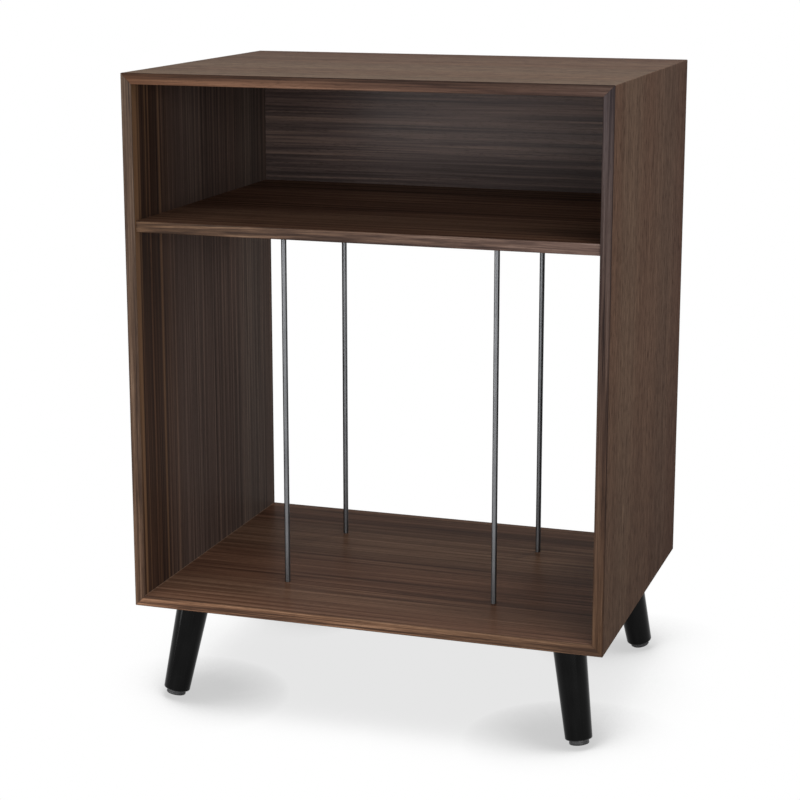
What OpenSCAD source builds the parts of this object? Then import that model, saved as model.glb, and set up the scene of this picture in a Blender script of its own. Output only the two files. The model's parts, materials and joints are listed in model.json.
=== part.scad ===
// Record storage stand: a mitred, walnut-veneered case on four splayed turned legs.
// One shelf divides it into an upper compartment with a back and a lower bay that is
// open through, which four upright steel rods part into three bays.
// Millimetres, +Z up, front towards -Y. The origin is on the floor, under the middle
// of the case.

/* [Case] */
// Overall width of the case
case_w = 530; // [460:1:620]
// Overall depth of the case
case_d = 390; // [350:1:460]
// Height of the case by itself, without the legs
case_h = 588; // [520:1:680]
// Thickness of every board
board_t = 12; // [12:0.5:15]
// Clear height of the upper compartment
upper_clear_h = 145; // [110:1:160]
// Distance of the shelf's front edge behind the front of the case
shelf_setback = 2.5; // [1:0.5:6]
// Distance of the back panel and the shelf's rear edge inside the rear of the case
rear_setback = 1.5; // [1:0.5:4]

/* [Edges] */
// Thickness of the edge banding
band_t = 1; // [1:0.1:2]
// Radius that the banding's arrises are eased to
arris_r = 0.8; // [0.4:0.1:0.9]
// Radius that the long outer corners of the case are eased to
corner_r = 1.2; // [0.6:0.1:2]
// Gap between each end of the shelf's bands and the sides
band_end_gap = 0.3; // [0.1:0.1:0.8]

/* [Dividers] */
// Diameter of a divider rod
rod_d = 6; // [5:0.5:7]
// Distance of the rods' axes from the outer face of the nearer side
rod_inset_x = 144; // [120:1:170]
// Distance of the rods' axes from the front and from the rear
rod_inset_y = 97; // [70:1:120]
// Depth of the sockets that hold the rods' ends
rod_socket = 8; // [5:0.5:9]

/* [Legs] */
// Height of the case's underside above the floor
leg_h = 115; // [105:1:160]
// Diameter of a leg at its top
leg_top_d = 36; // [32:0.5:38]
// Diameter of a leg at its foot
leg_foot_d = 29.5; // [26:0.5:31]
// Tilt of a leg from upright, towards its corner
leg_splay = 13; // [8:0.5:14]
// Distance of a leg's top from the outer face of the side
leg_inset_x = 49; // [47:1:70]
// Distance of a leg's top from the front or the rear
leg_inset_y = 53; // [48:1:75]

/* [Levelling glides] */
// Diameter of a glide's pad
pad_d = 21.5; // [19:0.5:23]
// Height of a glide's pad
pad_h = 7; // [6:0.5:8]
// Radius of the domed face that stands on the floor
dome_r = 30; // [25:1:34]
// Diameter of the threaded stem
stem_d = 8; // [8:0.5:9]
// How far a glide screws out
glide_travel = 10; // [6:1:12]

/* [Hidden] */
walnut = [0.36, 0.27, 0.21];
walnut_inside = [0.30, 0.22, 0.17];
band_walnut = [0.42, 0.31, 0.24];
black_lacquer = [0.10, 0.10, 0.10];
rod_steel = [0.62, 0.63, 0.64];
zinc = [0.74, 0.75, 0.76];
brass = [0.76, 0.62, 0.34];
black_nylon = [0.07, 0.07, 0.07];
beech = [0.80, 0.66, 0.47];

clear = 0.05;                 // gap left round a peg, bolt or stem in its hole
half_w = case_w / 2;
half_d = case_d / 2;
half_h = case_h / 2;
inner_w = case_w - 2 * board_t;
case_mid_z = leg_h + half_h;
floor_top_z = leg_h + board_t;
roof_z = leg_h + case_h - board_t;
shelf_top_z = roof_z - upper_clear_h;
shelf_z = shelf_top_z - board_t;
shelf_front_y = -half_d + shelf_setback;
panel_rear_y = half_d - rear_setback;

// Hardboard feathers glued into the mitres
feather_t = 3;
feather_w = 12;
feather_stop = 22;            // length at each end where the groove stops short
feather_from_inner = 5.5;     // place along the mitre, from the inner corner

// Fluted pegs that carry the shelf and the back panel
peg_d = 6;
peg_in_side = 7.5;
peg_in_board = 20.5;
shelf_peg_y = [-0.36 * case_d, 0, 0.30 * case_d];
back_peg_z = [shelf_top_z + 0.25 * upper_clear_h, shelf_top_z + 0.75 * upper_clear_h];

// Angled leg plate, the bolt through it, and its screws
plate_w = 56;
plate_t = 2;
plate_corner_r = 6;
plate_seat = 9;               // from the case's underside to the seat, along the leg
plate_seat_d = 37;
screw_pitch = 42;
screw_shank_d = 3.4;
screw_head_d = 7;
screw_l = 11;
bolt_d = 8;
bolt_wood_d = 7.4;
bolt_wood_l = 30;
bolt_top = 1.3;               // from the case's underside to the bolt's upper end

// The dome rests on the floor at its lowest point, and the leg's foot follows from it
pad_apex = (leg_h - dome_r) / cos(leg_splay) + dome_r;
pad_top = pad_apex - pad_h;
leg_foot = pad_top - clear;
foot_edge_r = 2;
insert_d = 11.6;
insert_l = 14;
insert_lip_d = 15;
insert_lip_t = 1;
stem_l = insert_l + glide_travel + 2;   // above the pad's upper face
stem_well = stem_l + 3;
head_d = 14;
head_t = 2.2;
head_drop = 1.5;              // from the pad's upper face to the stem's head
pad_edge_r = 0.8;
groove_depth = 0.9;
groove_w = 1;

$fn = 48;

corner_names = ["front_left", "front_right", "rear_left", "rear_right"];
corner_sides = [[-1, -1], [1, -1], [-1, 1], [1, 1]];

// ---- Case boards -----------------------------------------------------------

// Rectangle about the origin whose corners are eased to a radius
module eased_rect(w, h, r) {
    square([w - 2 * r, h], center = true);
    square([w, h - 2 * r], center = true);
    for (sx = [-1, 1], sy = [-1, 1])
        translate([sx * (w / 2 - r), sy * (h / 2 - r)])
            circle(r = r);
}

// Section of the case seen from the front, about the middle of the case
module case_section() {
    difference() {
        eased_rect(case_w, case_h, corner_r);
        square([inner_w, case_h - 2 * board_t], center = true);
    }
}

// The part of that section that one board takes, cut at 45 degrees at both ends.
// turn is 0 for the top, 180 for the bottom, 90 for the left side, -90 for the right.
module board_wedge(turn) {
    half_len = abs(turn) == 90 ? half_h : half_w;
    half_off = abs(turn) == 90 ? half_w : half_h;
    over = 1;
    rotate(turn)
        polygon([
            [-half_len - over, half_off + over],
            [half_len + over, half_off + over],
            [half_len - board_t - over, half_off - board_t - over],
            [-half_len + board_t + over, half_off - board_t - over]
        ]);
}

// Draws a front-view section as a solid from y0 back to y1
module along_depth(y0, y1) {
    translate([0, y1, case_mid_z])
        rotate([90, 0, 0])
            linear_extrude(height = y1 - y0)
                children();
}

module mitred_board(turn) {
    along_depth(-half_d + band_t, half_d - band_t)
        intersection() {
            case_section();
            board_wedge(turn);
        }
}

// Feather across the mitre of the corner on side sx, at the top or bottom sz
module feather(sx, sz, grow) {
    along = feather_from_inner / sqrt(2);
    translate([
        sx * (inner_w / 2 + along),
        0,
        case_mid_z + sz * (half_h - board_t + along)
    ])
        rotate([0, 45 * sx * sz, 0])
            cube([
                feather_w + 2 * grow,
                case_d - 2 * feather_stop + 2 * grow,
                feather_t + 2 * grow
            ], center = true);
}

module feather_grooves() {
    for (sx = [-1, 1], sz = [-1, 1])
        feather(sx, sz, clear);
}

module mitre_feather(sx, sz) {
    color(beech) feather(sx, sz, 0);
}

// One dowel across the joint of a side and a board at height z, depth y
module cross_peg(sx, y, z, grow) {
    translate([sx * (inner_w / 2 - peg_in_board - grow), y, z])
        rotate([0, sx * 90, 0])
            cylinder(d = peg_d + 2 * grow, h = peg_in_board + peg_in_side + 2 * grow);
}

module shelf_pegs(grow) {
    for (sx = [-1, 1], y = shelf_peg_y)
        cross_peg(sx, y, shelf_z + board_t / 2, grow);
}

module back_pegs(grow) {
    for (sx = [-1, 1], z = back_peg_z)
        cross_peg(sx, panel_rear_y - board_t / 2, z, grow);
}

module shelf_dowels() {
    color(beech) shelf_pegs(0);
}

module back_panel_dowels() {
    color(beech) back_pegs(0);
}

module top_panel() {
    color(walnut)
        difference() {
            mitred_board(0);
            feather_grooves();
        }
}

module bottom_panel() {
    color(walnut_inside)
        difference() {
            mitred_board(180);
            feather_grooves();
            rod_space(clear);
            plate_screw_space(clear);
        }
}

module side_panel(turn) {
    color(walnut)
        difference() {
            mitred_board(turn);
            feather_grooves();
            shelf_pegs(clear);
            back_pegs(clear);
        }
}

// The banding covers the front and rear edges of the shelf's core
module middle_shelf() {
    core_d = panel_rear_y - shelf_front_y - 2 * band_t;
    color(walnut_inside)
        difference() {
            translate([-inner_w / 2, shelf_front_y + band_t, shelf_z])
                cube([inner_w, core_d, board_t]);
            shelf_pegs(clear);
            rod_space(clear);
        }
}

module upper_back_panel() {
    color(walnut_inside)
        difference() {
            translate([-inner_w / 2, panel_rear_y - board_t, shelf_top_z])
                cube([inner_w, board_t, upper_clear_h]);
            back_pegs(clear);
        }
}

// ---- Edge banding ----------------------------------------------------------

// Section of a band: its glued face is on y = band_t, and both arrises at y = 0 are eased
module band_section() {
    translate([-board_t / 2 + arris_r, 0])
        square([board_t - 2 * arris_r, band_t]);
    translate([-board_t / 2, arris_r])
        square([board_t, band_t - arris_r]);
    for (s = [-1, 1])
        translate([s * (board_t / 2 - arris_r), arris_r])
            circle(r = arris_r);
}

// A straight band along Z, centred on the origin, facing -Y
module band_strip(length) {
    translate([0, 0, -length / 2])
        linear_extrude(height = length)
            intersection() {
                band_section();
                translate([-board_t / 2, 0])
                    square([board_t, band_t]);
            }
}

// Band on the front edge of one board of the case, mitred with its neighbours
module front_band(turn) {
    upright = abs(turn) == 90;
    reach = (upright ? half_w : half_h) - board_t / 2;
    intersection() {
        translate([0, -half_d, case_mid_z])
            rotate([0, -turn, 0])
                translate([0, 0, reach])
                    rotate([0, 90, 0])
                        band_strip(upright ? case_h : case_w);
        along_depth(-half_d - 1, -half_d + band_t + 1)
            intersection() {
                eased_rect(case_w, case_h, corner_r);
                board_wedge(turn);
            }
    }
}

module case_band(turn, is_front) {
    color(band_walnut)
        mirror([0, is_front ? 0 : 1, 0])
            front_band(turn);
}

module shelf_band(y, is_front) {
    color(band_walnut)
        translate([0, y, shelf_z + board_t / 2])
            rotate([0, 90, 0])
                mirror([0, is_front ? 0 : 1, 0])
                    band_strip(inner_w - 2 * band_end_gap);
}

// ---- Divider rods ----------------------------------------------------------

// One rod, from the bottom of its lower socket to just short of the top of its upper one
module rod(side, grow) {
    foot_z = floor_top_z - rod_socket;
    head_z = shelf_z + rod_socket;
    chamfer = 0.5;
    translate([side[0] * (half_w - rod_inset_x), side[1] * (half_d - rod_inset_y), 0])
        if (grow > 0)
            translate([0, 0, foot_z])
                cylinder(d = rod_d + 2 * grow, h = head_z - foot_z);
        else
            rotate_extrude()
                polygon([
                    [0, foot_z],
                    [rod_d / 2 - chamfer, foot_z],
                    [rod_d / 2, foot_z + chamfer],
                    [rod_d / 2, head_z - 2 * chamfer],
                    [rod_d / 2 - chamfer, head_z - chamfer],
                    [0, head_z - chamfer]
                ]);
}

module rod_space(grow) {
    for (side = corner_sides)
        rod(side, grow);
}

module divider_rod(i) {
    color(rod_steel) rod(corner_sides[i], 0);
}

// ---- Leg fittings ----------------------------------------------------------

// Moves its children to the top of leg i: the origin is on the case's underside, and
// local X runs inwards from the corner, along the direction that the leg leans in.
module at_leg(i) {
    side = corner_sides[i];
    translate([side[0] * (half_w - leg_inset_x), side[1] * (half_d - leg_inset_y), leg_h])
        rotate([0, 0, atan2(-side[1], -side[0])])
            children();
}

// The same, turned so that local -Z runs down the leg's own axis
module on_leg_axis(i) {
    at_leg(i)
        rotate([0, leg_splay, 0])
            children();
}

module at_plate_screws(i) {
    at_leg(i)
        for (sx = [-1, 1], sy = [-1, 1])
            translate([sx * screw_pitch / 2, sy * screw_pitch / 2, -plate_t])
                children();
}

// Countersunk wood screw pointing up, with its head's face on z = 0
module wood_screw(grow) {
    head_h = (screw_head_d - screw_shank_d) / 2;
    point_l = grow > 0 ? 0 : 2;
    rotate_extrude()
        polygon([
            [0, 0],
            [screw_head_d / 2 + grow, 0],
            [screw_shank_d / 2 + grow, head_h],
            [screw_shank_d / 2 + grow, screw_l - point_l],
            [0, screw_l]
        ]);
}

module plate_screw_space(grow) {
    for (i = [0:3])
        at_plate_screws(i) wood_screw(grow);
}

module leg_plate_screws() {
    color(zinc)
        for (i = [0:3])
            at_plate_screws(i) wood_screw(0);
}

// Pressed plate: a flat flange, and a slanted pan whose seat is square to the leg
module leg_plate(i) {
    color(zinc)
        difference() {
            union() {
                at_leg(i)
                    translate([0, 0, -plate_t])
                        linear_extrude(height = plate_t)
                            eased_rect(plate_w, plate_w, plate_corner_r);
                difference() {
                    on_leg_axis(i)
                        translate([0, 0, -plate_seat])
                            cylinder(d = plate_seat_d, h = plate_seat + board_t);
                    at_leg(i)
                        translate([-plate_w / 2, -plate_w / 2, 0])
                            cube([plate_w, plate_w, 2 * board_t]);
                }
            }
            on_leg_axis(i)
                translate([0, 0, -plate_seat - 1])
                    cylinder(d = bolt_d + 2 * clear, h = plate_seat + board_t);
            at_plate_screws(i) wood_screw(clear);
        }
}

// Bolt with a machine thread in the plate and a wood thread in the leg
module bolt_profile(grow) {
    point_l = grow > 0 ? 0.1 : 5;
    wood_r = bolt_wood_d / 2 + grow;
    rotate_extrude()
        polygon([
            [0, -bolt_top],
            [bolt_d / 2 + grow - 0.6, -bolt_top],
            [bolt_d / 2 + grow, -bolt_top - 0.6],
            [bolt_d / 2 + grow, -plate_seat - 1],
            [wood_r, -plate_seat - 1.8],
            [wood_r, -plate_seat - bolt_wood_l + point_l],
            [0, -plate_seat - bolt_wood_l]
        ]);
}

module hanger_bolt(i) {
    color(zinc) on_leg_axis(i) bolt_profile(0);
}

// Turned leg: a straight taper, a small chamfer at the seat and a rounded foot
module leg_profile() {
    top_r = leg_top_d / 2;
    foot_r = leg_foot_d / 2;
    top_chamfer = 0.8;
    arc = [for (a = [0:15:90])
        [foot_r - foot_edge_r + foot_edge_r * cos(a),
            -leg_foot + foot_edge_r - foot_edge_r * sin(a)]];
    polygon(concat(
        [[0, -plate_seat], [top_r - top_chamfer, -plate_seat],
            [top_r, -plate_seat - top_chamfer]],
        arc,
        [[0, -leg_foot]]
    ));
}

module leg(i) {
    color(black_lacquer)
        on_leg_axis(i)
            difference() {
                rotate_extrude($fn = 72) leg_profile();
                bolt_profile(clear);
                insert_profile(clear);
                translate([0, 0, -leg_foot])
                    cylinder(d = stem_d + 1, h = stem_well);
            }
}

// ---- Levelling glides ------------------------------------------------------

// Outside of the insert in the foot, with a lip that sits flush with the foot's end
module insert_profile(grow) {
    translate([0, 0, -leg_foot]) {
        cylinder(d = insert_d + 2 * grow, h = insert_l + grow);
        cylinder(d = insert_lip_d + 2 * grow, h = insert_lip_t + grow);
    }
}

module foot_insert(i) {
    color(brass)
        on_leg_axis(i)
            difference() {
                insert_profile(0);
                translate([0, 0, -leg_foot - 1])
                    cylinder(d = stem_d + 2 * clear, h = insert_l + 2);
            }
}

// Stem with the flat head that the pad is moulded round
module stem_profile(grow) {
    tip = 0.8;
    rotate_extrude()
        polygon([
            [0, -pad_top - head_drop - head_t - grow],
            [head_d / 2 + grow, -pad_top - head_drop - head_t - grow],
            [head_d / 2 + grow, -pad_top - head_drop + grow],
            [stem_d / 2 + grow, -pad_top - head_drop + grow],
            [stem_d / 2 + grow, -pad_top + stem_l - tip],
            [stem_d / 2 + grow - tip, -pad_top + stem_l],
            [0, -pad_top + stem_l]
        ]);
}

module glide_stem(i) {
    color(zinc) on_leg_axis(i) stem_profile(0);
}

// Section of the pad: two rings with a finger groove between them, over a domed face
module pad_section() {
    r = pad_d / 2;
    rim_r = r - pad_edge_r;
    centre = -pad_apex + dome_r;
    rim_z = centre - sqrt(dome_r * dome_r - rim_r * rim_r);
    ring_h = (-pad_top - (rim_z + pad_edge_r) - groove_w) / 2;
    intersection() {
        polygon([
            [0, -pad_top],
            [r - 0.3, -pad_top],
            [r, -pad_top - 0.3],
            [r, -pad_top - ring_h],
            [r - groove_depth, -pad_top - ring_h],
            [r - groove_depth, -pad_top - ring_h - groove_w],
            [r, -pad_top - ring_h - groove_w],
            [r, rim_z + pad_edge_r],
            [rim_r, rim_z],
            [rim_r, -pad_apex],
            [0, -pad_apex]
        ]);
        translate([0, centre])
            circle(r = dome_r, $fn = 180);
    }
}

module glide_pad(i) {
    color(black_nylon)
        on_leg_axis(i)
            difference() {
                rotate_extrude($fn = 72) pad_section();
                stem_profile(clear);
            }
}

// ---- Parts -----------------------------------------------------------------

top_panel();
bottom_panel();
side_panel(90);  // left_side_panel
side_panel(-90);  // right_side_panel
middle_shelf();
upper_back_panel();

case_band(0, true);  // front_band_top
case_band(180, true);  // front_band_bottom
case_band(90, true);  // front_band_left
case_band(-90, true);  // front_band_right
case_band(0, false);  // rear_band_top
case_band(180, false);  // rear_band_bottom
case_band(90, false);  // rear_band_left
case_band(-90, false);  // rear_band_right
shelf_band(shelf_front_y, true);  // shelf_front_band
shelf_band(panel_rear_y, false);  // shelf_rear_band

mitre_feather(-1, 1);  // mitre_feather_top_left
mitre_feather(1, 1);  // mitre_feather_top_right
mitre_feather(-1, -1);  // mitre_feather_bottom_left
mitre_feather(1, -1);  // mitre_feather_bottom_right
shelf_dowels();
back_panel_dowels();
leg_plate_screws();

for (i = [0:3]) {
    divider_rod(i);
    leg_plate(i);
    hanger_bolt(i);
    leg(i);
    foot_insert(i);
    glide_stem(i);
    glide_pad(i);
}
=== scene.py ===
"""Looks of the record storage stand: a walnut-veneered case with banded edges, satin steel
rods, and black lacquered legs that stand on levelling glides."""

import json
import math

import bmesh
import bpy
from mathutils import Matrix, Vector


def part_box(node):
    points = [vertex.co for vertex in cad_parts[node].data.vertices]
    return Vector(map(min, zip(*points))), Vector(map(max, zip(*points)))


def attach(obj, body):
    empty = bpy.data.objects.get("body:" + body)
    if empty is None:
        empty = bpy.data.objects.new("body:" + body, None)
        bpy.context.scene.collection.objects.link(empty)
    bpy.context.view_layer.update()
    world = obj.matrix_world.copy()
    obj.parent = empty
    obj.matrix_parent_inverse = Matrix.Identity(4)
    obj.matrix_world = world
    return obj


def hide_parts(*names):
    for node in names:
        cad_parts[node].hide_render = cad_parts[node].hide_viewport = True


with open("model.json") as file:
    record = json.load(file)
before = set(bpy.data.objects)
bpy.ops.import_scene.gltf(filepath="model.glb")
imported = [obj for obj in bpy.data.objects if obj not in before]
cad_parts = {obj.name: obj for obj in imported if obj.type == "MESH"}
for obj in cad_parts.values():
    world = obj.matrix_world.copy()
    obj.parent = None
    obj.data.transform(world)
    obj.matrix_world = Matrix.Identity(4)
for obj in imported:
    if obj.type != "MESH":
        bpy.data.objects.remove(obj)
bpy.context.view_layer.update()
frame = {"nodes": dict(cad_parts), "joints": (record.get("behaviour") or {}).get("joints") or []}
nodes = frame["nodes"]

MM = 0.001
CORNERS = ("front_left", "front_right", "rear_left", "rear_right")
SIDES_OF_CASE = ("top", "bottom", "left", "right")


# ---- Sizes and places, all read from the solids and their joints ----

def low(node):
    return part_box(node)[0]


def high(node):
    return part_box(node)[1]


CASE_HALF_W = high("front_band_right").x
CASE_FRONT = low("front_band_left").y
CASE_REAR = high("rear_band_left").y
CASE_TOP = high("top_panel").z
CASE_FOOT = low("bottom_panel").z
CASE_MID_Z = (CASE_TOP + CASE_FOOT) / 2
CASE_HALF_H = (CASE_TOP - CASE_FOOT) / 2
BOARD_T = CASE_TOP - low("top_panel").z
BAY_FLOOR = CASE_FOOT + BOARD_T
JOINTS = {joint["name"]: joint for joint in frame["joints"]}


def leg_axis(corner):
    """Direction down the leg of a corner, along which its glide screws out."""
    return Vector(JOINTS["glide_drop_" + corner]["axis"]).normalized()


def pad_top(corner):
    """Point on the leg's axis at the upper face of its glide's pad."""
    return Vector(JOINTS["glide_turn_" + corner]["pos_m"])


def leg_frame(corner):
    """Turns upright things onto a leg's axis, with the origin at the pad's upper face."""
    lean = Vector((0, 0, -1)).rotation_difference(leg_axis(corner)).to_matrix().to_4x4()
    return Matrix.Translation(pad_top(corner)) @ lean


# ---- Material recipes ----
# All scales of patterns are frequencies per metre.

# Levels between which most of a noise lies
NOISE_LOW, NOISE_HIGH = 0.3, 0.7


def paint(red, green, blue):
    """A colour as a picture shows it, 0 to 255, turned into the shader's linear values."""
    def linear(c):
        c /= 255
        return c / 12.92 if c <= 0.04045 else ((c + 0.055) / 1.055) ** 2.4
    return (linear(red), linear(green), linear(blue), 1.0)


class Recipe:
    """A material being written: each call adds a node or a few and gives back an output."""

    def __init__(self, name):
        self.material = bpy.data.materials.new(name)
        self.material.use_nodes = True
        self.tree = self.material.node_tree
        self.tree.nodes.clear()
        self.place = self.add("ShaderNodeTexCoord").outputs["Object"]

    def add(self, kind, inputs=None, **settings):
        node = self.tree.nodes.new(kind)
        for key, value in settings.items():
            setattr(node, key, value)
        for key, value in (inputs or {}).items():
            if isinstance(value, bpy.types.NodeSocket):
                self.tree.links.new(value, node.inputs[key])
            else:
                node.inputs[key].default_value = value
        return node

    def math(self, operation, a, b=0.0):
        return self.add("ShaderNodeMath", {0: a, 1: b}, operation=operation).outputs[0]

    def vector(self, operation, a, b):
        return self.add("ShaderNodeVectorMath", {0: a, 1: b}, operation=operation).outputs[0]

    def parts(self, vector):
        return self.add("ShaderNodeSeparateXYZ", {0: vector}).outputs

    def mapped(self, vector, scale, shift=(0, 0, 0)):
        inputs = {"Vector": vector, "Scale": scale, "Location": shift}
        return self.add("ShaderNodeMapping", inputs).outputs[0]

    def noise(self, vector, scale=1.0, detail=2.0, roughness=0.5, colour=False):
        inputs = {"Vector": vector, "Scale": scale, "Detail": detail, "Roughness": roughness}
        return self.add("ShaderNodeTexNoise", inputs).outputs["Color" if colour else "Fac"]

    def spread(self, value, from_low, from_high, to_low=0.0, to_high=1.0, **settings):
        inputs = {0: value, 1: from_low, 2: from_high, 3: to_low, 4: to_high}
        return self.add("ShaderNodeMapRange", inputs, **settings).outputs[0]

    def between(self, value, to_low, to_high):
        """Spreads a noise from one number to another."""
        return self.spread(value, NOISE_LOW, NOISE_HIGH, to_low, to_high)

    def ramp(self, value, stops):
        node = self.add("ShaderNodeValToRGB", {0: value})
        elements = node.color_ramp.elements
        while len(elements) < len(stops):
            elements.new(0.5)
        for element, (position, colour) in zip(elements, stops):
            element.position = position
            element.color = colour
        return node.outputs[0]

    def two_tone(self, value, dark, pale):
        """Spreads a noise from a dark colour to a pale one."""
        return self.ramp(value, ((NOISE_LOW, dark), (NOISE_HIGH, pale)))

    def blend(self, amount, a, b, kind="MIX"):
        # 6, 7 and 2 are the Mix node's colour sockets
        inputs = {0: amount, 6: a, 7: b}
        return self.add("ShaderNodeMix", inputs, data_type="RGBA", blend_type=kind).outputs[2]

    def over(self, colour, where, strength, mark):
        """Lays a mark's colour over another where it shows, as strongly as given."""
        return self.blend(self.math("MULTIPLY", where, strength), colour, mark)

    def mean(self, *weighted):
        """Sum of (value, weight) pairs."""
        total = None
        for value, weight in weighted:
            term = self.math("MULTIPLY", value, weight)
            total = term if total is None else self.math("ADD", total, term)
        return total

    def near(self, value, centre, half_width):
        """1 where value is at centre, falling to 0 at half_width from it."""
        gap = self.math("ABSOLUTE", self.math("SUBTRACT", value, centre))
        return self.spread(gap, half_width * 0.5, half_width, 1.0, 0.0)

    def bump(self, height, distance, strength=1.0):
        inputs = {"Height": height, "Distance": distance, "Strength": strength}
        return self.add("ShaderNodeBump", inputs).outputs[0]

    def finish(self, colour, roughness, normal=None, **constants):
        """Closes the recipe with a Principled surface; constants go straight on its sockets."""
        inputs = {"Base Color": colour, "Roughness": roughness}
        for key, value in constants.items():
            inputs[key.replace("_", " ").title().replace("Ior", "IOR")] = value
        if normal is not None:
            inputs["Normal"] = normal
        surface = self.add("ShaderNodeBsdfPrincipled", inputs)
        self.add("ShaderNodeOutputMaterial", {0: surface.outputs[0]})
        return self.material


# ---- Walnut ----

# Tones of a leaf of veneer, from its darkest lines to its palest
CALM_LEAF = (
    (0.24, paint(80, 63, 50)),
    (0.44, paint(98, 79, 64)),
    (0.58, paint(108, 88, 71)),
    (0.78, paint(122, 101, 81)),
)
STRIPED_LEAF = (
    (0.26, paint(42, 33, 29)),
    (0.46, paint(60, 46, 38)),
    (0.58, paint(71, 54, 44)),
    (0.78, paint(96, 73, 57)),
)
PLAIN_LEAF = (
    (0.24, paint(54, 47, 44)),
    (0.44, paint(74, 64, 59)),
    (0.58, paint(86, 74, 68)),
    (0.78, paint(112, 96, 86)),
)
GREY_LEAF = (
    (0.24, paint(64, 55, 53)),
    (0.44, paint(82, 70, 67)),
    (0.58, paint(99, 84, 79)),
    (0.80, paint(126, 105, 94)),
)
WARM_LEAF = (
    (0.24, paint(76, 56, 45)),
    (0.42, paint(106, 79, 63)),
    (0.58, paint(126, 96, 77)),
    (0.80, paint(156, 124, 101)),
)
BANDING = (
    (0.26, paint(60, 46, 40)),
    (0.42, paint(88, 68, 57)),
    (0.58, paint(106, 83, 69)),
    (0.80, paint(130, 106, 90)),
)
PORE = paint(48, 37, 31)
# Dark of the mitre joints and of the lines along the arrises; at the inner arris it is painted
# shade
JOINT_AND_SHADE_DARK = paint(44, 33, 28)
# Pale line painted as a highlight along the seams inside the case
SEAM_HIGHLIGHT = paint(160, 136, 116)
PALE_LINE = paint(126, 94, 68)
REDDER = (0.95, 0.86, 0.84, 1.0)

# How far the pores darken an outer, an inner and a plain leaf, and the banding
OUTER_PORES, INNER_PORES, PLAIN_PORES, BAND_PORES = 0.5, 0.45, 0.3, 0.35

# Height of the pores' relief, and the roughness of wood where it is smoothest
PORE_RELIEF = 0.06 * MM
WOOD_ROUGHNESS = 0.45

# Weight and roughness of the clear coat on the banding, and on the shelf and back panel
BAND_COAT = (0.08, 0.35)
INSIDE_COAT = (0.14, 0.25)

# Looks of the boards' outer leaves: the tint at the front and at the rear, which is painted
# light, brighter at the front and darker at the rear, the tone at the foot of the case, which
# is painted shade, and the clear coat
LID_LOOK = ((1.03, 1.08, 1.14, 1.0), (0.78, 0.73, 0.79, 1.0), 1.0, (0.11, 0.35))
SIDE_LOOK = ((1.00, 0.96, 1.00, 1.0), (0.81, 0.76, 0.85, 1.0), 0.74, (0.04, 0.35))

# Looks of the bands: how each leans from the common tones at its start and at its end, how
# strongly its figure stands out, and its painted light and shade across its width, as its
# tone at its outer and at its inner edge, or None where it isn't mitred
BAND_LOOKS = {
    "top": (((0.74, 0.61, 0.47), (0.55, 0.59, 0.68)), 1.0, (0.62, 1.45)),
    "bottom": (((1.60, 1.40, 1.18), (1.10, 1.04, 0.91)), 1.6, (1.05, 0.95)),
    "left": (((0.78, 0.79, 0.74), (0.71, 0.79, 0.81)), 1.1, (1.0, 1.0)),
    "right": (((0.70, 0.70, 0.60), (0.39, 0.54, 0.80)), 1.0, (1.0, 1.0)),
    "shelf": (((0.86, 0.80, 0.65), (0.97, 1.08, 1.29)), 1.4, None),
}

# Half the width of the painted highlight along a seam, of the line at a mitre and of the dark
# along an arris, which at the inner arris is painted shade, and how strongly each shows
SEAM_HALF, SEAM_STRENGTH = 0.55 * MM, 0.6
MITRE_HALF, MITRE_STRENGTH = 0.5 * MM, 0.35
ARRIS_HALF, OUTER_ARRIS_STRENGTH, INNER_ARRIS_STRENGTH = 1.1 * MM, 0.6, 0.35

ALONG_X = 0
ALONG_Z = 2

# How a log was sliced: (along, across) frequencies of the broad figure, the stripes and the
# short streaks, the weight of each, and how far the grain wanders
QUARTER_CUT = ((0.6, 13), (1.6, 75), (16, 300), (0.3, 0.3, 0.4), 3 * MM)
STRIPE_CUT = ((0.5, 30), (0.7, 170), (3, 560), (0.2, 0.42, 0.38), 2 * MM)
RIFT_CUT = ((0.7, 14), (1.4, 110), (5, 460), (0.24, 0.38, 0.38), 4 * MM)
BAND_CUT = ((2.5, 90), (4.0, 330), (16, 1100), (0.2, 0.5, 0.3), 3 * MM)
CROWN_CUT = ((6, 80), (10, 300), (22, 1000), (0.36, 0.44, 0.2), 9 * MM)

# The same frequencies of the grain's wandering and of the pores, and the levels of noise
# over which the pores come in
SWAY = (1.7, 5)
PORE_DASHES = (110, 1700)
PORE_CLUSTERS = (9, 90)
PORES_SHOW = (0.55, 0.64)

# Other marks: the frequencies of each, and the levels of noise over which it comes in
HEARTWOOD = ((0.4, 6), (0.42, 0.58))
FLECKS = ((42, 520), (0.36, 0.64))
DARK_FLECKS = ((85, 280), (0.54, 0.68))
PALE_LINES = ((0.7, 105), (0.56, 0.68))
PALE_LINE_STRENGTH = 0.6

# Depths between which the stripes of a striped inner leaf fade into plain walnut
STRIPES_FADE = (-0.150, -0.075)


def stretched(grain, along, across):
    """Scales that draw a pattern out along the grain's axis."""
    scales = [across, across, across]
    scales[grain] = along
    return tuple(scales)


def drawn_out(recipe, wood, grain, frequencies, detail=2, roughness=0.5):
    """Noise drawn out along the grain, from its (along, across) frequencies."""
    scaled = recipe.mapped(wood, stretched(grain, *frequencies))
    return recipe.noise(scaled, detail=detail, roughness=roughness)


def marks(recipe, wood, grain, kind, detail=2):
    """Marks along the grain, 1 where they show."""
    frequencies, show = kind
    return recipe.spread(drawn_out(recipe, wood, grain, frequencies, detail), *show)


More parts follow.
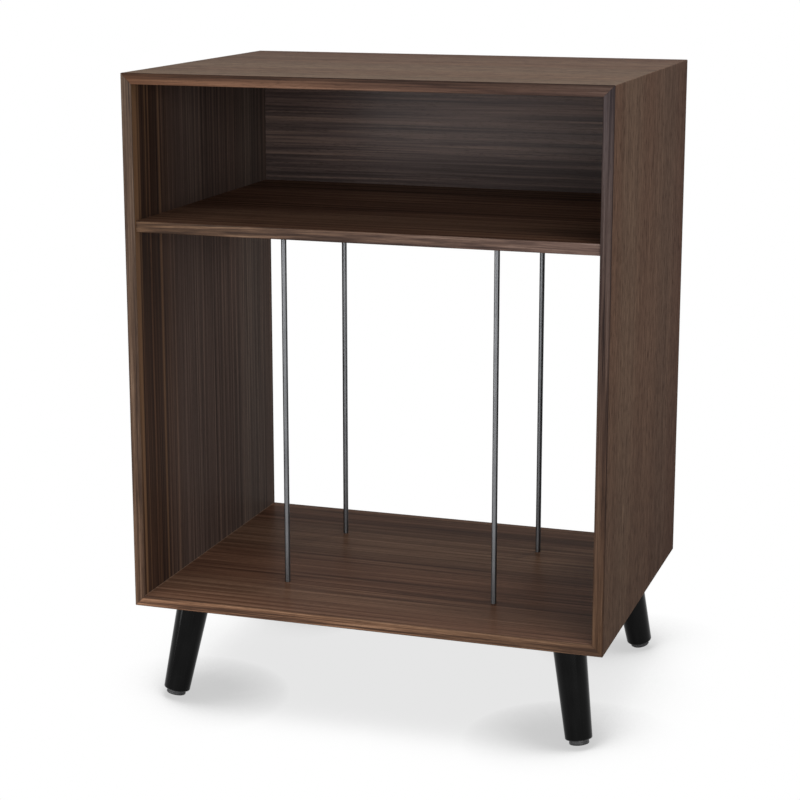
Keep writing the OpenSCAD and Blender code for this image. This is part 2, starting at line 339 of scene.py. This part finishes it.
def grain_figure(recipe, grain, leaf, cut):
    """Walnut figure of a cut, 0 dark to 1 pale, its pores, and the slow change to redder
    heartwood. leaf moves to another part of the log."""
    figure, stripes, streaks, weights, wander = cut
    start = recipe.mapped(recipe.place, (1, 1, 1), leaf)
    drift = recipe.noise(recipe.mapped(start, stretched(grain, *SWAY)), detail=1, colour=True)
    sway = recipe.vector("MULTIPLY", recipe.vector("SUBTRACT", drift, (0.5, 0.5, 0.5)),
                         stretched(grain, 0, wander * 2))
    wood = recipe.vector("ADD", start, sway)
    layers = (
        drawn_out(recipe, wood, grain, figure),
        drawn_out(recipe, wood, grain, stripes, detail=3, roughness=0.6),
        drawn_out(recipe, wood, grain, streaks, detail=3, roughness=0.65),
    )
    tone = recipe.mean(*zip(layers, weights))
    dashes = drawn_out(recipe, wood, grain, PORE_DASHES)
    clusters = drawn_out(recipe, wood, grain, PORE_CLUSTERS, detail=1)
    pores = recipe.spread(recipe.mean((dashes, 0.8), (clusters, 0.2)), *PORES_SHOW)
    heart = marks(recipe, wood, grain, HEARTWOOD, detail=1)
    return recipe.between(tone, 0.0, 1.0), pores, heart


def stained(recipe, tone, pores, heart, leaf_tones, pore_depth):
    """Colour of a leaf from its figure, its redder heart and its dark pores."""
    colour = recipe.ramp(tone, leaf_tones)
    colour = recipe.blend(heart, colour, REDDER, kind="MULTIPLY")
    return recipe.over(colour, pores, pore_depth, PORE)


def satin_wood(recipe, colour, tone, pores, coat, relief=1.0):
    """Open-pored wood under a thin clear coat, whose weight and roughness coat gives."""
    cloud = recipe.noise(recipe.place, scale=14, detail=3)
    roughness = recipe.mean((cloud, 0.2), (pores, 0.2))
    roughness = recipe.math("ADD", roughness, WOOD_ROUGHNESS)
    height = recipe.mean((pores, -1.0), (tone, 0.35))
    normal = recipe.bump(height, PORE_RELIEF * relief, 0.7)
    weight, coat_roughness = coat
    return recipe.finish(colour, roughness, normal, specular_ior_level=0.0,
                         coat_weight=weight, coat_roughness=coat_roughness)


def outer_leaf(recipe, grain, leaf, y, z, painted_front_light, painted_rear_shade, painted_foot_shade):
    """Colour and pores of the calm, flecked, quarter-cut leaf on the outside of a board, with
    painted light that falls off from the front of the case to the rear and painted shade at its
    foot.
    """
    tone, pores, heart = grain_figure(recipe, grain, leaf, QUARTER_CUT)
    flecks = marks(recipe, recipe.place, grain, FLECKS, detail=3)
    dark_flecks = marks(recipe, recipe.place, grain, DARK_FLECKS)
    tone = recipe.mean((tone, 0.5), (flecks, 0.28), (dark_flecks, -0.24))
    tone = recipe.math("ADD", tone, 0.13)
    colour = stained(recipe, tone, pores, heart, CALM_LEAF, OUTER_PORES)
    # Painted light: the leaf is brighter at the front of the case and darker at the rear
    painted_depth_light = recipe.blend(recipe.spread(y, CASE_FRONT, CASE_REAR), painted_front_light, painted_rear_shade)
    colour = recipe.blend(1.0, colour, painted_depth_light, kind="MULTIPLY")
    # Painted shade: the leaf darkens towards the foot of the case
    painted_foot_level = recipe.spread(z, CASE_FOOT, CASE_MID_Z, painted_foot_shade, 1.0)
    return recipe.vector("MULTIPLY", colour, painted_foot_level), pores


def inner_leaf(recipe, grain, leaf, y, cut, tones, plain_tones):
    """Colour and figure of the leaf on the inside of a board. Where it has plain tones, it
    has pale lines at the front and fades into them at the rear."""
    tone, pores, heart = grain_figure(recipe, grain, leaf, cut)
    colour = stained(recipe, tone, pores, heart, tones, INNER_PORES)
    if plain_tones:
        plain = stained(recipe, tone, pores, heart, plain_tones, PLAIN_PORES)
        lines = marks(recipe, recipe.place, grain, PALE_LINES, detail=1)
        colour = recipe.over(colour, lines, PALE_LINE_STRENGTH, PALE_LINE)
        colour = recipe.blend(recipe.spread(y, *STRIPES_FADE), colour, plain)
    return colour, tone


def board_veneer(name, grain, leaf, outwards, outer_from, outer_look, inner, seams):
    """Veneered board with one leaf outside and another inside. The outer one starts where
    the distance from the middle of the case along the axis outwards passes outer_from.
    outer_look is one of the looks above, inner is the cut, the tones and the plain tones of
    the inner leaf, and seams are the (axis, place) of seams on it, where a pale line is painted
    as a highlight."""
    recipe = Recipe(name)
    x, y, z = recipe.parts(recipe.place)
    from_middle = recipe.math("ABSOLUTE", x if outwards == ALONG_X else
                              recipe.math("SUBTRACT", z, CASE_MID_Z))
    is_outer = recipe.spread(from_middle, outer_from - 1 * MM, outer_from + 1 * MM)
    *shades, coat = outer_look
    outer, pores = outer_leaf(recipe, grain, leaf, y, z, *shades)
    inside, tone = inner_leaf(recipe, grain, leaf, y, *inner)
    # Painted highlight: a pale line along each seam, where the bay floor meets the side
    for axis, place in seams:
        seam = recipe.near((x, y, z)[axis], place, SEAM_HALF)
        inside = recipe.over(inside, seam, SEAM_STRENGTH, SEAM_HIGHLIGHT)
    colour = recipe.blend(is_outer, inside, outer)
    return satin_wood(recipe, colour, tone, pores, coat)


def inside_veneer(name, leaf, tones):
    """Shelf or back panel, the same on both faces, with its grain across the case."""
    recipe = Recipe(name)
    tone, pores, heart = grain_figure(recipe, ALONG_X, leaf, RIFT_CUT)
    colour = stained(recipe, tone, pores, heart, tones, INNER_PORES)
    return satin_wood(recipe, colour, tone, pores, INSIDE_COAT)


def mitred(recipe, colour, x, z, painted_edge_light):
    """Paints light and shade across the width of a band of the case, and adds the fine dark
    lines where it is mitred and along its two arrises; the one at the inner arris is painted
    shade."""
    from_side = recipe.math("SUBTRACT", CASE_HALF_W, recipe.math("ABSOLUTE", x))
    height = recipe.math("ABSOLUTE", recipe.math("SUBTRACT", z, CASE_MID_Z))
    from_end = recipe.math("SUBTRACT", CASE_HALF_H, height)
    mitre = recipe.near(recipe.math("SUBTRACT", from_side, from_end), 0.0, MITRE_HALF)
    colour = recipe.over(colour, mitre, MITRE_STRENGTH, JOINT_AND_SHADE_DARK)
    from_edge = recipe.math("MINIMUM", from_side, from_end)
    # Painted light and shade across the band, from its outer to its inner edge
    painted_edge_level = recipe.spread(from_edge, 0.0, BOARD_T, *painted_edge_light)
    colour = recipe.vector("MULTIPLY", colour, painted_edge_level)
    # Dark lines along both arrises; the one at the inner arris is painted shade
    arrises = ((0.0, OUTER_ARRIS_STRENGTH), (BOARD_T, INNER_ARRIS_STRENGTH))
    for place, strength in arrises:
        arris = recipe.near(from_edge, place, ARRIS_HALF)
        colour = recipe.over(colour, arris, strength, JOINT_AND_SHADE_DARK)
    return colour


def edge_banding(name, grain, leaf, look, cut=BAND_CUT):
    """Band of solid walnut along an edge. look is one of the bands' looks above."""
    leans, contrast, painted_edge_light = look
    recipe = Recipe(name)
    x, _, z = recipe.parts(recipe.place)
    tone, pores, heart = grain_figure(recipe, grain, leaf, cut)
    tone = recipe.spread(tone, 0.5 - 0.5 / contrast, 0.5 + 0.5 / contrast)
    colour = stained(recipe, tone, pores, heart, BANDING, BAND_PORES)
    if grain == ALONG_X:
        along = recipe.spread(x, -CASE_HALF_W, CASE_HALF_W)
    else:
        along = recipe.spread(z, CASE_FOOT, CASE_TOP)
    start, end = (lean + (1.0,) for lean in leans)
    colour = recipe.blend(1.0, colour, recipe.blend(along, start, end), kind="MULTIPLY")
    if painted_edge_light:
        colour = mitred(recipe, colour, x, z, painted_edge_light)
    return satin_wood(recipe, colour, tone, pores, BAND_COAT, relief=0.8)


# ---- Beech, metal, lacquer and nylon ----

# Middle of a pad's groove below the pad's upper face, half its width, and how far beside it
# the rims carry a painted highlight
GROOVE_AT = -2.25 * MM
GROOVE_HALF = 0.5 * MM
RIM_HIGHLIGHT_WIDTH = 0.7 * MM
# Colours of the painted highlight on a pad's rims and of the painted shade in its groove, and
# how strongly each shows
NYLON_RIM_HIGHLIGHT = paint(104, 104, 106)
GROOVE_SHADE = paint(5, 5, 5)
RIM_HIGHLIGHT_STRENGTH, GROOVE_SHADE_STRENGTH = 0.6, 0.95


def raw_beech():
    recipe = Recipe("raw_beech")
    flecks = recipe.noise(recipe.mapped(recipe.place, (160, 900, 900)), detail=2)
    rays = recipe.noise(recipe.mapped(recipe.place, (30, 260, 260)), detail=2)
    tone = recipe.mean((flecks, 0.5), (rays, 0.5))
    colour = recipe.two_tone(tone, dark=paint(170, 132, 92), pale=paint(214, 180, 138))
    return recipe.finish(colour, recipe.between(tone, 0.7, 0.55),
                         recipe.bump(tone, 0.05 * MM))


def drawn_steel():
    """Rod steel with the fine lengthwise marks of drawing."""
    recipe = Recipe("satin_drawn_steel")
    lines = recipe.noise(recipe.mapped(recipe.place, (3200, 3200, 14)), detail=3)
    cloud = recipe.noise(recipe.mapped(recipe.place, (60, 60, 18)), detail=2)
    colour = recipe.two_tone(recipe.mean((lines, 0.6), (cloud, 0.4)),
                             dark=paint(86, 87, 89), pale=paint(116, 117, 119))
    roughness = recipe.between(recipe.mean((lines, 0.5), (cloud, 0.5)), 0.34, 0.46)
    return recipe.finish(colour, roughness, recipe.bump(lines, 0.015 * MM, 0.5),
                         metallic=1.0, specular_tint=(0.6, 0.61, 0.62, 1.0))


def zinc_plate(name="bright_zinc_plate"):
    """Pressed or turned steel with a bright zinc plate, slightly blue and clouded."""
    recipe = Recipe(name)
    cloud = recipe.noise(recipe.place, scale=90, detail=4, roughness=0.6)
    speckle = recipe.noise(recipe.place, scale=1400, detail=2)
    tone = recipe.mean((cloud, 0.6), (speckle, 0.4))
    colour = recipe.two_tone(tone, dark=paint(166, 172, 180), pale=paint(206, 209, 212))
    return recipe.finish(colour, recipe.between(tone, 0.22, 0.42),
                         recipe.bump(speckle, 0.02 * MM, 0.5), metallic=1.0)


def turned_brass():
    recipe = Recipe("turned_brass")
    lines = recipe.noise(recipe.mapped(recipe.place, (300, 300, 2600)), detail=2)
    colour = recipe.two_tone(lines, dark=paint(176, 142, 78), pale=paint(214, 182, 112))
    return recipe.finish(colour, recipe.between(lines, 0.25, 0.4),
                         recipe.bump(lines, 0.02 * MM), metallic=1.0)


def up_the_leg(recipe, corner):
    """Coordinates with Z up a leg's axis from the upper face of its pad."""
    return recipe.add("ShaderNodeMapping", {
        "Vector": recipe.place,
        "Location": pad_top(corner),
        "Rotation": leg_frame(corner).to_euler(),
    }, vector_type="TEXTURE").outputs[0]


def black_lacquer(corner):
    """Satin black over turned beech, whose grain shows faintly along the leg."""
    recipe = Recipe("black_lacquer_" + corner)
    along = up_the_leg(recipe, corner)
    grain = recipe.noise(recipe.mapped(along, (520, 520, 16)), detail=3, roughness=0.6)
    pores = recipe.noise(recipe.mapped(along, (1500, 1500, 120)), detail=2)
    peel = recipe.noise(recipe.place, scale=620, detail=1)
    streaks = recipe.noise(recipe.mapped(along, (60, 60, 9)), detail=2)
    cloud = recipe.noise(recipe.place, scale=35, detail=3)
    colour = recipe.ramp(recipe.mean((streaks, 0.5), (grain, 0.25), (cloud, 0.25)),
                         ((0.40, paint(2, 2, 2)), (0.62, paint(13, 13, 13))))
    roughness = recipe.between(recipe.mean((cloud, 0.6), (grain, 0.4)), 0.3, 0.42)
    pores = recipe.spread(pores, 0.55, 0.7)
    height = recipe.mean((grain, 0.5), (pores, -0.4), (peel, 0.25))
    return recipe.finish(colour, roughness, recipe.bump(height, 0.05 * MM, 0.6),
                         specular_ior_level=0.0, coat_weight=1.0, coat_roughness=0.12,
                         coat_ior=1.18)


def moulded_nylon(corner):
    """Black nylon of a pad, with painted shade in its groove and a painted highlight on the rims
    beside it.
    """
    recipe = Recipe("moulded_nylon_" + corner)
    height = recipe.parts(up_the_leg(recipe, corner))[2]
    groove = recipe.near(height, GROOVE_AT, GROOVE_HALF)
    rims = recipe.near(height, GROOVE_AT, GROOVE_HALF + RIM_HIGHLIGHT_WIDTH)
    grit = recipe.noise(recipe.place, scale=1700, detail=3)
    cloud = recipe.noise(recipe.place, scale=160, detail=2)
    colour = recipe.two_tone(recipe.mean((grit, 0.5), (cloud, 0.5)),
                             dark=paint(20, 20, 21), pale=paint(36, 36, 37))
    # Painted highlight on the rims beside the groove, then painted shade in the groove
    colour = recipe.over(colour, rims, RIM_HIGHLIGHT_STRENGTH, NYLON_RIM_HIGHLIGHT)
    colour = recipe.over(colour, groove, GROOVE_SHADE_STRENGTH, GROOVE_SHADE)
    return recipe.finish(colour, recipe.between(grit, 0.34, 0.5),
                         recipe.bump(grit, 0.03 * MM, 0.7), specular_ior_level=0.35)


# ---- Finishes on the solids ----

def clad(node, material):
    """Gives a solid a finish in place of its plain colour."""
    for slot in nodes[node].material_slots:
        slot.material = material


def clad_case():
    half_board = BOARD_T / 2
    flat = (ALONG_X, ALONG_Z, CASE_HALF_H - half_board)
    upright = (ALONG_Z, ALONG_X, CASE_HALF_W - half_board)
    warm = (RIFT_CUT, WARM_LEAF, None)
    striped = (STRIPE_CUT, STRIPED_LEAF, PLAIN_LEAF)
    floor_seam = ((ALONG_Z, BAY_FLOOR),)
    boards = (
        ("top_panel", flat, (0.3, 0.1, 0.0), LID_LOOK, striped, ()),
        ("bottom_panel", flat, (1.7, 0.4, 0.2), LID_LOOK, warm, ()),
        ("left_side_panel", upright, (0.0, 0.6, 1.1), SIDE_LOOK, striped, floor_seam),
        ("right_side_panel", upright, (0.9, 0.2, 2.3), SIDE_LOOK, striped, floor_seam),
    )
    for node, (grain, outwards, outer_from), leaf, look, inner, seams in boards:
        clad(node, board_veneer("walnut_" + node, grain, leaf, outwards, outer_from, look,
                                inner, seams))
    clad("middle_shelf", inside_veneer("walnut_shelf", (3.1, 0.7, 0.5), WARM_LEAF))
    clad("upper_back_panel", inside_veneer("walnut_back", (4.3, 0.1, 0.9), GREY_LEAF))


def clad_edges():
    for row, end in enumerate(("front", "rear")):
        for column, side in enumerate(SIDES_OF_CASE):
            grain = ALONG_X if side in ("top", "bottom") else ALONG_Z
            leaf = (1.3 * row + 0.8 * column, 0.37 * column, 0.9 * column + 0.21 * row)
            node = f"{end}_band_{side}"
            clad(node, edge_banding("walnut_" + node, grain, leaf, BAND_LOOKS[side]))
    shelf_bands = (("shelf_front_band", (0.4, 2.2, 1.9)), ("shelf_rear_band", (1.4, 2.9, 0.9)))
    for node, leaf in shelf_bands:
        clad(node, edge_banding("walnut_" + node, ALONG_X, leaf, BAND_LOOKS["shelf"],
                                CROWN_CUT))


def clad_fittings():
    beech, steel, zinc, brass = raw_beech(), drawn_steel(), zinc_plate(), turned_brass()
    for side in ("top_left", "top_right", "bottom_left", "bottom_right"):
        clad("mitre_feather_" + side, beech)
    clad("shelf_dowels", beech)
    clad("back_panel_dowels", beech)
    for corner in CORNERS:
        clad("divider_rod_" + corner, steel)
        clad("leg_plate_" + corner, zinc)
        clad("hanger_bolt_" + corner, zinc)
        clad("leg_" + corner, black_lacquer(corner))
        clad("foot_insert_" + corner, brass)
        clad("glide_pad_" + corner, moulded_nylon(corner))


# ---- Screws and threaded stems ----

SCREW_HEAD_R = 3.5 * MM
SCREW_SHANK_R = 1.7 * MM
SCREW_LENGTH = 11 * MM
SCREW_POINT = 2 * MM
SCREW_EASE = 0.15 * MM
SCREW_SPACING = 42 * MM
# Degrees by which the recesses are turned, from screw to screw and from plate to plate
SCREW_TURN, PLATE_TURN = 37, 23
RECESS_SPAN = 3.6 * MM
RECESS_W = 0.9 * MM
RECESS_DEPTH = 1.5 * MM
# What is left of a recess's span and width at its bottom
RECESS_NARROWS = (0.35, 0.6, 1)
STEM_R = 4 * MM
STEM_TOP = 26 * MM
STEM_TIP = 0.8 * MM
STEM_TIP_CHAMFER = 0.6 * MM
STEM_HEAD_R = 7 * MM
STEM_HEAD_TOP = -1.5 * MM
STEM_HEAD_FOOT = -3.7 * MM
STEM_HEAD_EASE = 0.2 * MM
THREAD_PITCH = 1.25 * MM
THREAD_ROOT_R = 3.25 * MM
THREAD_START = 0.8 * MM
THREAD_SHOULDER = 0.75 * MM
# Half the ridge's width at its root and at its crest, and its depth inside the core
RIDGE_ROOT, RIDGE_CREST, RIDGE_SUNK = 0.56 * MM, 0.09 * MM, 0.1 * MM
THREAD_STEPS = 32
STEM_STEPS = 40
SCREW_STEPS = 28
SHARP_EDGE = math.radians(35)
WELD = 1e-7


def turned(outline, steps):
    """Solid of revolution about Z from (radius, height) pairs that start and end on Z."""
    shape = bmesh.new()
    ring = [shape.verts.new((radius, 0, height)) for radius, height in outline]
    edges = [shape.edges.new(pair) for pair in zip(ring, ring[1:])]
    bmesh.ops.spin(shape, geom=ring + edges, axis=(0, 0, 1), cent=(0, 0, 0),
                   angle=math.tau, steps=steps, use_merge=True)
    bmesh.ops.remove_doubles(shape, verts=shape.verts, dist=WELD)
    bmesh.ops.recalc_face_normals(shape, faces=shape.faces)
    return shape


def as_mesh(name, shape):
    """Mesh of a bmesh, which is freed."""
    mesh = bpy.data.meshes.new(name)
    shape.to_mesh(mesh)
    shape.free()
    return mesh


def as_object(name, mesh):
    thing = bpy.data.objects.new(name, mesh)
    bpy.context.scene.collection.objects.link(thing)
    return thing


def joined(shapes):
    """One bmesh that holds a few, which are freed."""
    whole = bmesh.new()
    for shape in shapes:
        mesh = as_mesh("part", shape)
        whole.from_mesh(mesh)
        bpy.data.meshes.remove(mesh)
    return whole


def piece(name, shape, body, replaced, material):
    """Makes an object of a bmesh in place of a solid, moving with the same body."""
    mesh = as_mesh(name, shape)
    for face in mesh.polygons:
        face.use_smooth = True
    mesh.set_sharp_from_angle(angle=SHARP_EDGE)
    mesh.materials.append(material)
    thing = as_object(name, mesh)
    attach(thing, body)
    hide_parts(replaced)


def cut_away(shape, cutter):
    """The solid left when one bmesh is cut out of another."""
    blank = as_object("blank", as_mesh("blank", shape))
    tool = as_object("cutter", as_mesh("cutter", cutter))
    cut = blank.modifiers.new("cut", "BOOLEAN")
    cut.operation = "DIFFERENCE"
    cut.solver = "EXACT"
    cut.object = tool
    bpy.context.view_layer.update()
    result = bmesh.new()
    result.from_object(blank, bpy.context.evaluated_depsgraph_get())
    for thing in (blank, tool):
        bpy.data.objects.remove(thing)
    return result


def cross_recess():
    """Two crossed wedges that narrow upwards, from the face of a screw's head."""
    wedges = []
    for turn in (0, 90):
        wedge = bmesh.new()
        bmesh.ops.create_cube(wedge, size=1)
        bmesh.ops.scale(wedge, vec=(RECESS_SPAN, RECESS_W, 2 * RECESS_DEPTH), verts=wedge.verts)
        deep = [v for v in wedge.verts if v.co.z > 0]
        bmesh.ops.scale(wedge, vec=RECESS_NARROWS, verts=deep)
        bmesh.ops.rotate(wedge, matrix=Matrix.Rotation(math.radians(turn), 3, "Z"),
                         verts=wedge.verts)
        wedges.append(wedge)
    return wedges


def recessed_screw():
    """Countersunk wood screw pointing up, with its head's face at height 0."""
    neck = SCREW_HEAD_R - SCREW_SHANK_R
    shape = turned((
        (0, 0),
        (SCREW_HEAD_R - SCREW_EASE, 0),
        (SCREW_HEAD_R, SCREW_EASE),
        (SCREW_SHANK_R, neck),
        (SCREW_SHANK_R, SCREW_LENGTH - SCREW_POINT),
        (0, SCREW_LENGTH),
    ), SCREW_STEPS)
    for wedge in cross_recess():
        shape = cut_away(shape, wedge)
    return shape


def drive_plate_screws(zinc):
    """Four screws through each leg plate, their recesses turned each its own way."""
    screw = as_mesh("screw", recessed_screw())
    whole = bmesh.new()
    face_z = low("leg_plate_screws").z
    for corner_number, corner in enumerate(CORNERS):
        down = leg_axis(corner)
        top = pad_top(corner) + down * ((CASE_FOOT - pad_top(corner).z) / down.z)
        inwards = math.atan2(-down.y, -down.x)
        for number, (a, b) in enumerate(((-1, -1), (-1, 1), (1, -1), (1, 1))):
            place = Matrix.Rotation(inwards, 4, "Z") @ Vector((a, b, 0)) * (SCREW_SPACING / 2)
            turn = math.radians(SCREW_TURN * number + PLATE_TURN * corner_number)
            one = screw.copy()
            one.transform(Matrix.Translation((top.x + place.x, top.y + place.y, face_z))
                          @ Matrix.Rotation(turn, 4, "Z"))
            whole.from_mesh(one)
            bpy.data.meshes.remove(one)
    piece("cross_recess_screws", whole, "stand", "leg_plate_screws", zinc)


def thread_ridge():
    """Helical ridge of the stem's thread, sunk slightly into its core, that fades in at its
    start and is chamfered with the stem's tip."""
    shape = bmesh.new()
    sunk = THREAD_ROOT_R - RIDGE_SUNK
    section = ((sunk, -RIDGE_ROOT), (STEM_R, -RIDGE_CREST), (STEM_R, RIDGE_CREST),
               (sunk, RIDGE_ROOT))
    outline = [shape.verts.new((r, 0, THREAD_START + h)) for r, h in section]
    face = shape.faces.new(outline)
    turns = (STEM_TOP - THREAD_START - 2 * RIDGE_ROOT) / THREAD_PITCH
    steps = round(turns * THREAD_STEPS)
    bmesh.ops.spin(shape, geom=[face] + list(face.edges) + outline, axis=(0, 0, 1),
                   cent=(0, 0, 0), dvec=(0, 0, THREAD_PITCH / THREAD_STEPS),
                   angle=math.tau * steps / THREAD_STEPS, steps=steps)
    bmesh.ops.recalc_face_normals(shape, faces=shape.faces)
    for v in shape.verts:
        radius = v.co.xy.length
        limit = min(STEM_R, STEM_R - STEM_TIP + (STEM_TOP - v.co.z),
                    THREAD_ROOT_R + max(0, v.co.z - THREAD_START))
        if radius > limit:
            v.co.xy *= limit / radius
    return shape


def threaded_stem(corner, zinc):
    """Stem of a glide: the head that its pad is moulded round, a plain neck and the thread."""
    core = turned((
        (0, STEM_HEAD_FOOT),
        (STEM_HEAD_R - STEM_HEAD_EASE, STEM_HEAD_FOOT),
        (STEM_HEAD_R, STEM_HEAD_FOOT + STEM_HEAD_EASE),
        (STEM_HEAD_R, STEM_HEAD_TOP - STEM_HEAD_EASE),
        (STEM_HEAD_R - STEM_HEAD_EASE, STEM_HEAD_TOP),
        (STEM_R, STEM_HEAD_TOP),
        (STEM_R, THREAD_START - THREAD_SHOULDER),
        (THREAD_ROOT_R, THREAD_START),
        (THREAD_ROOT_R, STEM_TOP - STEM_TIP),
        (THREAD_ROOT_R - STEM_TIP_CHAMFER, STEM_TOP),
        (0, STEM_TOP),
    ), STEM_STEPS)
    whole = joined([core, thread_ridge()])
    bmesh.ops.transform(whole, matrix=leg_frame(corner), verts=whole.verts)
    name = "glide_stem_" + corner
    piece("threaded_stem_" + corner, whole, name, name, zinc)


# ---- Room, lamps and camera ----

FLOOR_HALF = 9.0
FLOOR_PAINT = (0.60, 0.60, 0.60, 1.0)
ROOM_LIGHT = 0.10

# Shade of the case and of the legs on the floor: the level in it, how far off each still
# shades, and the openness over which the shade runs out
CASE_SHADE, CASE_SHADE_REACH, CASE_SHADE_OPEN = 0.79, 0.22, (0.44, 0.77)
LEG_SHADE, LEG_SHADE_REACH, LEG_SHADE_OPEN = 0.74, 0.112, (0.88, 0.985)
SHADE_SAMPLES = 24

# How far the shade of the legs leans to the rear and to the middle, and half the width of
# the strip in the middle where its lean turns round
LIGHT_LEAN = 0.6
MIDDLE_HALF = 0.1

# Point that the lamps face, and the place, width, height and watts of each
STAND_MIDDLE = (0, 0, 0.36)
LAMPS = {
    "overhead_box": ((0.0, 0.0, 2.6), 0.8, 0.8, 27),
    "front_left_box": ((-1.2, -2.6, 0.7), 1.6, 1.2, 29),
    "front_right_box": ((1.6, -2.4, 0.8), 1.6, 1.2, 38),
    "high_right_box": ((1.5, -0.9, 2.3), 0.8, 0.8, 10),
    "left_box": ((-2.2, -1.4, 0.6), 0.5, 1.4, 18),
    "rear_box": ((1.5, 2.3, 1.3), 0.9, 0.9, 18),
}

# Camera, with its tilt down and its turn in degrees
CAMERA_PLACE = (0.68321, -2.14209, 0.85991)
CAMERA_TILT, CAMERA_TURN = 12.2512, 18.1569
CAMERA_SENSOR, CAMERA_LENS = 36.0, 91.195
CAMERA_SHIFT = -0.05
CAMERA_REACH = 60.0


def seen_directly(tree):
    """1 for rays that show the backdrop: from the camera, and through gloss or glass."""
    path = tree.nodes.new("ShaderNodeLightPath")
    total = path.outputs["Is Camera Ray"]
    for name in ("Is Glossy Ray", "Is Transmission Ray"):
        larger = tree.nodes.new("ShaderNodeMath")
        larger.operation = "MAXIMUM"
        tree.links.new(total, larger.inputs[0])
        tree.links.new(path.outputs[name], larger.inputs[1])
        total = larger.outputs[0]
    return total


def floor_shade(recipe):
    """Level of the floor, 1 in the open, from how much of the case and the legs is over it.
    At the feet, openness is taken about a leaning direction, so their shade leans too."""
    x = recipe.parts(recipe.place)[0]
    sideways = recipe.spread(x, -MIDDLE_HALF, MIDDLE_HALF, -LIGHT_LEAN, LIGHT_LEAN)
    to_light = recipe.add("ShaderNodeCombineXYZ", {0: sideways, 1: -LIGHT_LEAN, 2: 1.0})
    to_light = recipe.vector("NORMALIZE", to_light.outputs[0], (0, 0, 0))
    under_case = recipe.add("ShaderNodeAmbientOcclusion", {"Distance": CASE_SHADE_REACH},
                            samples=SHADE_SAMPLES).outputs["AO"]
    by_legs = recipe.add("ShaderNodeAmbientOcclusion",
                         {"Distance": LEG_SHADE_REACH, "Normal": to_light},
                         samples=SHADE_SAMPLES).outputs["AO"]
    under_case = recipe.spread(under_case, *CASE_SHADE_OPEN, CASE_SHADE, 1.0,
                               interpolation_type="SMOOTHSTEP")
    by_legs = recipe.spread(by_legs, *LEG_SHADE_OPEN, LEG_SHADE, 1.0)
    return recipe.math("MULTIPLY", under_case, by_legs)


def pale_floor():
    """Matt floor that shows the white backdrop through itself, dimmed by the stand's soft
    shade, so that a glide screwed out below it is still seen."""
    shape = bmesh.new()
    bmesh.ops.create_grid(shape, x_segments=1, y_segments=1, size=FLOOR_HALF)
    floor = as_object("studio_floor", as_mesh("studio_floor", shape))
    recipe = Recipe("studio_floor")
    level = floor_shade(recipe)
    grey = recipe.add("ShaderNodeCombineColor", {0: level, 1: level, 2: level}).outputs[0]
    clear = recipe.add("ShaderNodeBsdfTransparent", {"Color": grey})
    matt = recipe.add("ShaderNodeBsdfDiffuse", {"Color": FLOOR_PAINT})
    shadow_ray = recipe.add("ShaderNodeLightPath").outputs["Is Shadow Ray"]
    from_below = recipe.add("ShaderNodeNewGeometry").outputs["Backfacing"]
    lit_below = recipe.math("MULTIPLY", shadow_ray, from_below)
    see_through = recipe.math("MAXIMUM", seen_directly(recipe.tree), lit_below)
    both = recipe.add("ShaderNodeMixShader",
                      {0: see_through, 1: matt.outputs[0], 2: clear.outputs[0]})
    recipe.add("ShaderNodeOutputMaterial", {0: both.outputs[0]})
    floor.data.materials.append(recipe.material)


def room_light():
    """World that is white where it is seen, and lights the stand only faintly."""
    world = bpy.data.worlds.new("studio")
    bpy.context.scene.world = world
    world.use_nodes = True
    tree = world.node_tree
    tree.nodes.clear()
    strength = tree.nodes.new("ShaderNodeMapRange")
    strength.inputs["To Min"].default_value = ROOM_LIGHT
    strength.inputs["To Max"].default_value = 1.0
    tree.links.new(seen_directly(tree), strength.inputs["Value"])
    white = tree.nodes.new("ShaderNodeBackground")
    white.inputs["Color"].default_value = (1, 1, 1, 1)
    tree.links.new(strength.outputs[0], white.inputs["Strength"])
    out = tree.nodes.new("ShaderNodeOutputWorld")
    tree.links.new(white.outputs[0], out.inputs["Surface"])


def soft_box(name, place, width, height, watts):
    """Large oblong lamp that faces the middle of the stand."""
    lamp = bpy.data.lights.new(name, "AREA")
    lamp.shape = "RECTANGLE"
    lamp.size = width
    lamp.size_y = height
    lamp.energy = watts
    holder = as_object(name, lamp)
    to_stand = Vector(STAND_MIDDLE) - Vector(place)
    holder.location = place
    holder.rotation_euler = to_stand.to_track_quat("-Z", "Y").to_euler()
    holder.visible_camera = False


def studio_camera():
    """Camera at the angle of the picture, with its slight downward tilt."""
    camera = bpy.data.cameras.new("studio_camera")
    camera.sensor_width = CAMERA_SENSOR
    camera.lens = CAMERA_LENS
    camera.shift_y = CAMERA_SHIFT
    camera.clip_end = CAMERA_REACH
    holder = as_object("studio_camera", camera)
    holder.location = CAMERA_PLACE
    holder.rotation_euler = (math.radians(90 - CAMERA_TILT), 0.0, math.radians(CAMERA_TURN))
    bpy.context.scene.camera = holder


# ---- The stand, then the studio round it ----

clad_case()
clad_edges()
clad_fittings()
small_zinc = zinc_plate("bright_zinc_plate_small")
drive_plate_screws(small_zinc)
for corner in CORNERS:
    threaded_stem(corner, small_zinc)

pale_floor()
room_light()
for name, lamp in LAMPS.items():
    soft_box(name, *lamp)
studio_camera()
bpy.context.scene.view_settings.view_transform = "Standard"
